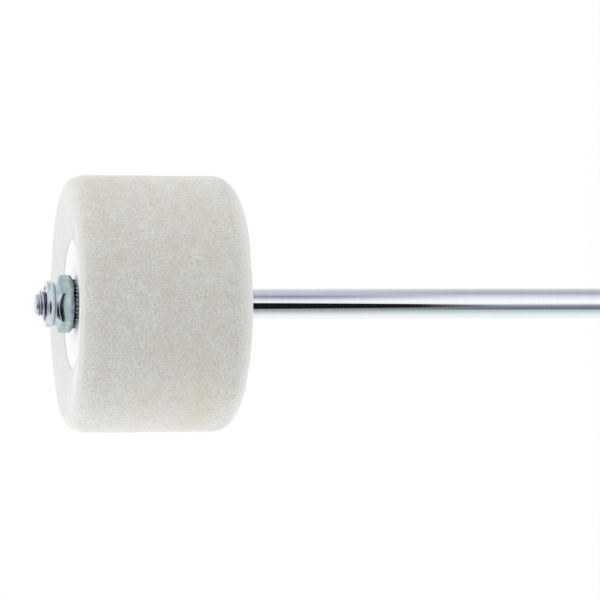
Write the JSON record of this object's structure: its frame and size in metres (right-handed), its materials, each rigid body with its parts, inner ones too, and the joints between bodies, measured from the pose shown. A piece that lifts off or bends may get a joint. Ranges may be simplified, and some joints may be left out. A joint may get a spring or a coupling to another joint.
{
  "type": "bass drum beater",
  "caption": "Felt-headed drum pedal beater: a thick dished felt ring on a moulded hub, held on a chromed rod by a crimped lock nut and a toothed washer.",
  "frame": {"origin": "on the rod's axis, in the middle of the stretch that a pedal's clamp grips, 20 mm above the rod's lower end", "axes": "+Z along the rod from the clamp to the felt head; X and Y across the rod"},
  "size_m": [0.0508, 0.0508, 0.2118],
  "materials": {
    "chromed_steel": "polished chrome plate",
    "zinc_plated_steel": "bright bluish zinc plate",
    "white_plastic": "moulded, satin",
    "wool_felt": "pressed wool felt",
    "black_spring_steel": "black oxide",
    "nylon": "natural nylon"
  },
  "bodies": {
    "rod_assembly": {"rod": "chromed_steel", "jam_nut": "zinc_plated_steel", "lower_washer": "zinc_plated_steel"},
    "head": {"hub": "white_plastic", "felt_head": "wool_felt", "lock_washer": "black_spring_steel"},
    "nut_lift": {"nylon_ring": "nylon"},
    "nut": {"lock_nut": "zinc_plated_steel"}
  },
  "joints": [
    {"name": "head_turn", "type": "hinge", "parent": "rod_assembly", "child": "head", "pos_m": [0, 0, 0.169], "axis": [0, 0, 1], "continuous": true},
    {"name": "nut_rise", "type": "slide", "parent": "rod_assembly", "child": "nut_lift", "axis": [0, 0, 1], "range_m": [0, 0.007]},
    {"name": "nut_turn", "type": "hinge", "parent": "nut_lift", "child": "nut", "pos_m": [0, 0, 0.188], "axis": [0, 0, 1], "range_deg": [0, 2520]}
  ],
  "couplings": [
    {"joint": "nut_turn", "follows": "nut_rise", "rad_per_m": 6283.2}
  ]
}
